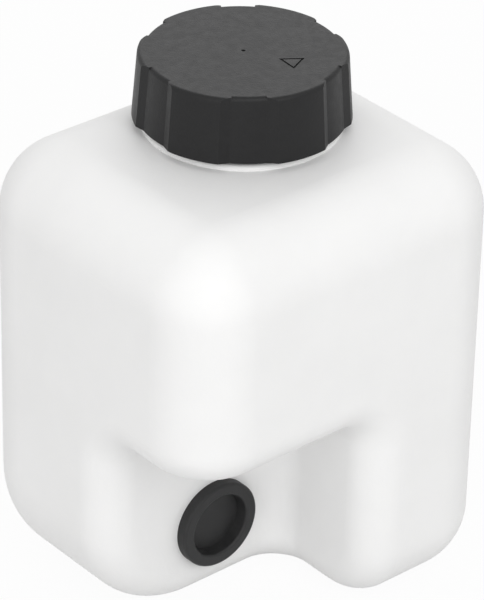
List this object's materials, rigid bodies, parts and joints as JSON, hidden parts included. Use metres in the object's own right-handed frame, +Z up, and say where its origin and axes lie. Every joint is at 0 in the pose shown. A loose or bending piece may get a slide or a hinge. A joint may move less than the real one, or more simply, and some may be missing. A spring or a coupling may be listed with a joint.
{
  "type": "fluid reservoir",
  "caption": "Rounded blow-moulded fluid tank with a fluted screw cap on its filler neck and a corner niche for a pump, its port closed by a blind rubber plug.",
  "frame": {"origin": "centre of the tank's outline on the surface it stands on", "axes": "+X to the right and +Z up when the face with the pump niche at its lower left is seen from the front, which is -Y"},
  "size_m": [0.115, 0.1006, 0.1625],
  "materials": {
    "tank_plastic": "satin translucent white polyethylene",
    "cap_plastic": "fine spark-eroded black polypropylene",
    "seal_rubber": "smooth black rubber",
    "plug_rubber": "matt black rubber"
  },
  "bodies": {
    "reservoir": {"tank": "tank_plastic", "pump_port_plug": "plug_rubber"},
    "seal": {"cap_seal": "seal_rubber"},
    "cap": {"filler_cap": "cap_plastic"}
  },
  "joints": [
    {"name": "cap_lift", "type": "slide", "parent": "reservoir", "child": "seal", "axis": [0, 0, 1], "range_m": [0, 0.0181]},
    {"name": "cap_turn", "type": "hinge", "parent": "seal", "child": "cap", "pos_m": [0.007, 0.009, 0.15], "axis": [0, 0, 1], "range_deg": [0, 1080]}
  ],
  "couplings": [
    {"joint": "cap_lift", "follows": "cap_turn", "m_per_rad": 0.00095493}
  ]
}
